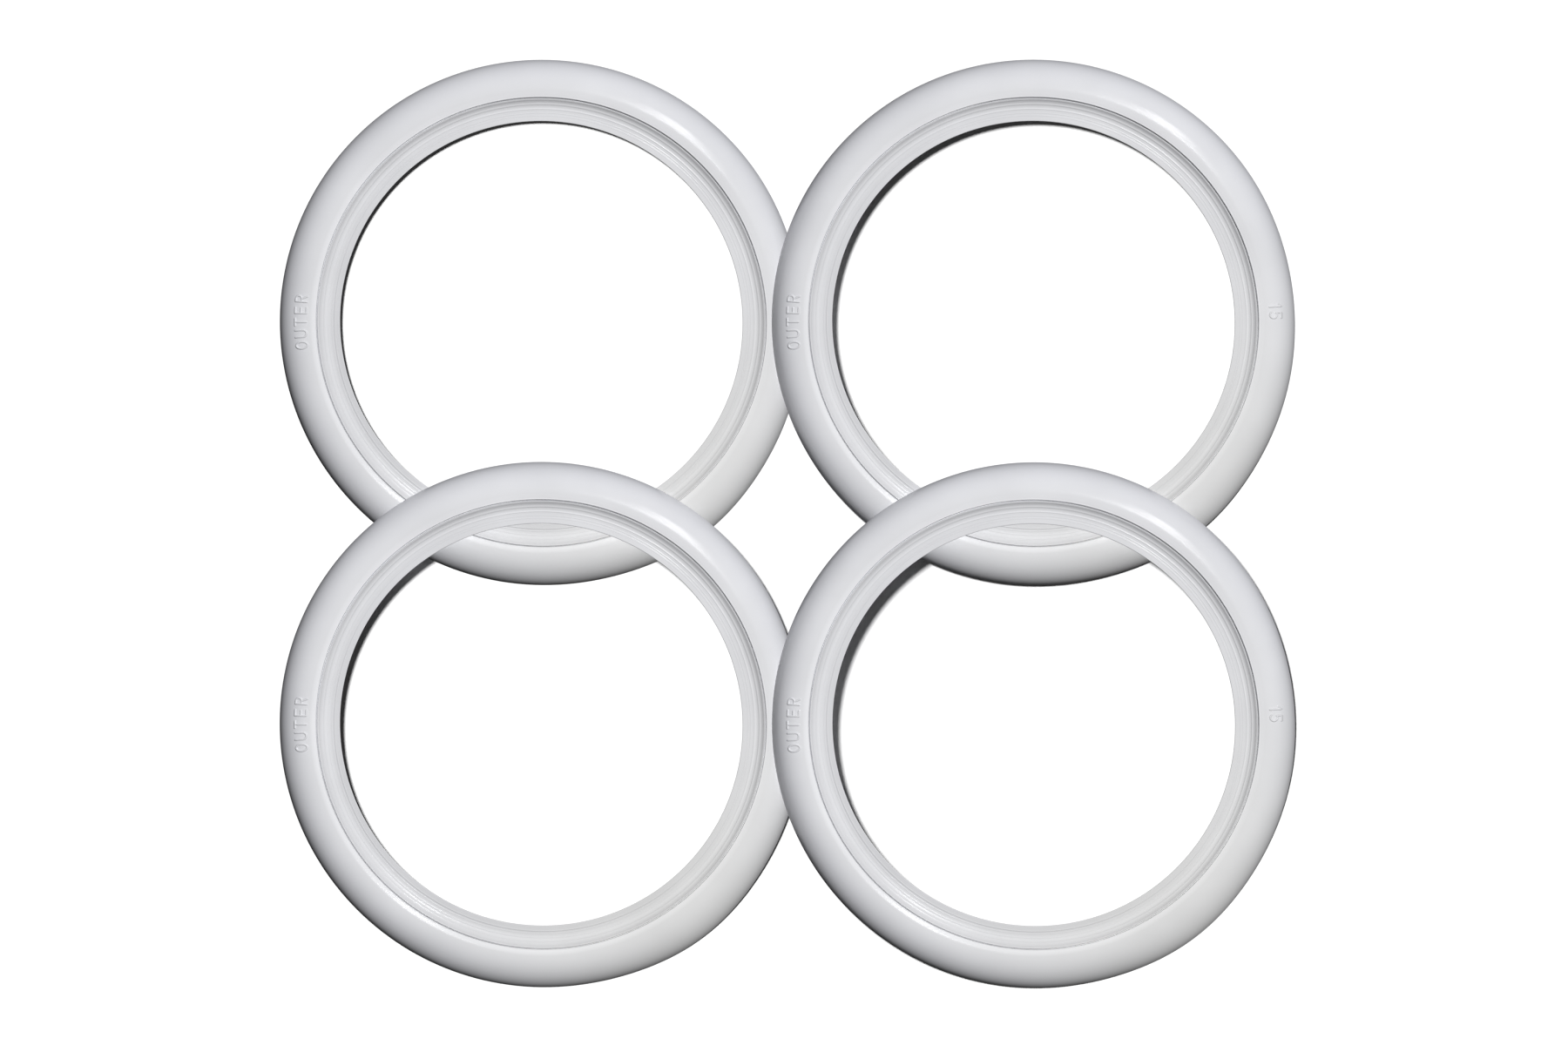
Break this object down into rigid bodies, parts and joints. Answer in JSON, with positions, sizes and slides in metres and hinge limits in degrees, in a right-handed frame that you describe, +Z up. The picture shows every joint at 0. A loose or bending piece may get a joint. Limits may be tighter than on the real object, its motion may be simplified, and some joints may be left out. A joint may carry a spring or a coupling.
{
  "type": "wheel trim ring set",
  "caption": "Set of white rubber trim rings for road wheels, each a fluted inner lip and a hollow rounded band, laid out overlapping on a flat surface.",
  "frame": {"origin": "on the surface that the rings lie on, under the middle of the whole layout", "axes": "+Z up, out of the fronts of the rings; +X towards the right column; +Y towards the top row"},
  "size_m": [0.963, 0.878, 0.0677],
  "materials": {
    "white_rubber": "smooth moulded white rubber with a satin gloss"
  },
  "bodies": {
    "top_left": {"ring_top_left": "white_rubber"},
    "top_right": {"ring_top_right": "white_rubber"},
    "bottom_left": {"ring_bottom_left": "white_rubber"},
    "bottom_right": {"ring_bottom_right": "white_rubber"}
  },
  "joints": [
    {"name": "lift_bottom_left", "type": "slide", "parent": "top_left", "child": "bottom_left", "axis": [0, 0, 1], "range_m": [0, 0.1]},
    {"name": "lift_top_right", "type": "slide", "parent": "bottom_left", "child": "top_right", "axis": [0, 0, 1], "range_m": [0, 0.1]},
    {"name": "lift_bottom_right", "type": "slide", "parent": "top_right", "child": "bottom_right", "axis": [0, 0, 1], "range_m": [0, 0.1]}
  ]
}
